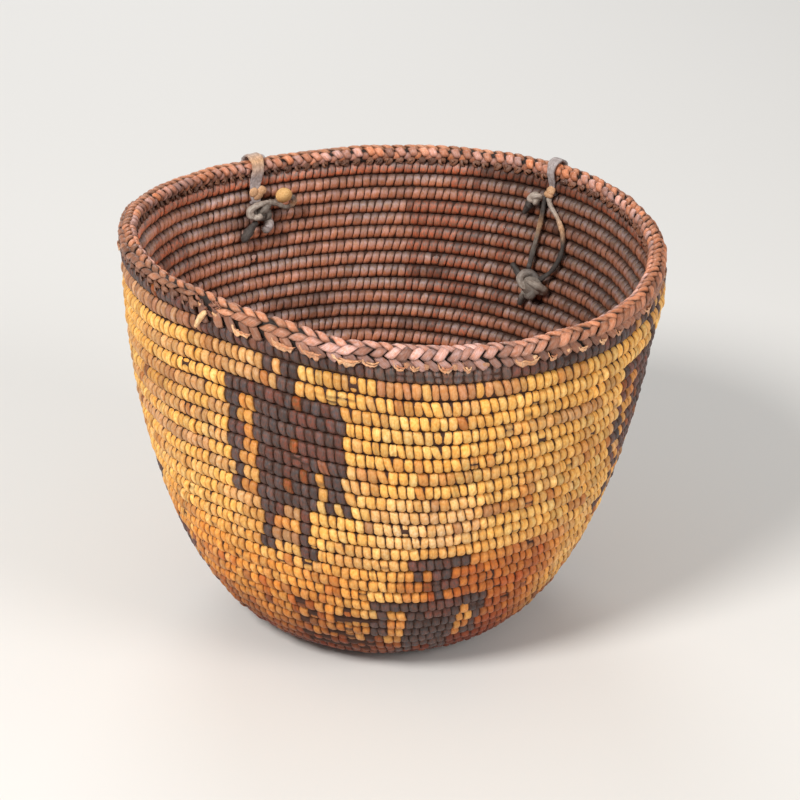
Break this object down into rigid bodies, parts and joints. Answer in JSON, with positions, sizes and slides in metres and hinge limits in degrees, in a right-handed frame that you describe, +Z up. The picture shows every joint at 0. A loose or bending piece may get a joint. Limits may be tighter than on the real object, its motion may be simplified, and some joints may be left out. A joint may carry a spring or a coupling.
{
  "type": "coiled basket",
  "caption": "Deep round basket of coiled stitched rows that flares from a small flat foot to a wide braided rim, with two knotted hide ties hanging inside the mouth.",
  "frame": {"origin": "middle of the foot, on the plane that the foot row rests on", "axes": "+Z up out of the mouth, -Y towards the side that the picture looks at, +X to the picture's right"},
  "size_m": [0.2238, 0.2237, 0.1766],
  "materials": {
    "stitches": "satin, split root over willow rods",
    "dark_stitches": "satin, dyed dark",
    "foundation": "rough rod",
    "braid_strands": "satin splints, worn",
    "grey_hide": "dull, dried and stiff",
    "pale_hide": "dull, rawhide"
  },
  "bodies": {
    "basket": {"start_knot": "stitches", "base_coil": "stitches", "heel_coil": "stitches", "lower_wall_coil": "stitches", "middle_wall_coil": "stitches", "upper_wall_coil": "stitches", "dark_border_coil": "dark_stitches", "rim_core": "foundation", "rim_braid": "braid_strands", "hide_stub": "pale_hide", "left_tie_loop": "grey_hide", "right_tie_loop": "grey_hide"},
    "left_tie": {"left_tie_knot": "grey_hide", "left_tie_curled_end": "grey_hide", "left_tie_short_end": "grey_hide", "left_tie_tail": "grey_hide"},
    "right_tie": {"right_tie_upper_knot": "grey_hide", "right_tie_upper_tail": "grey_hide", "right_tie_left_strand": "grey_hide", "right_tie_right_strand": "grey_hide", "right_tie_lower_knot": "grey_hide", "right_tie_left_end": "grey_hide", "right_tie_lower_end": "grey_hide"}
  },
  "joints": [
    {"name": "left_tie_hinge", "type": "hinge", "parent": "basket", "child": "left_tie", "pos_m": [-0.05809, 0.08389, 0.14714], "axis": [-0.8221, -0.5693, 0], "range_deg": [0, 45]},
    {"name": "right_tie_hinge", "type": "hinge", "parent": "basket", "child": "right_tie", "pos_m": [0.06595, 0.07915, 0.15894], "axis": [-0.7683, 0.6401, 0], "range_deg": [0, 90]}
  ]
}
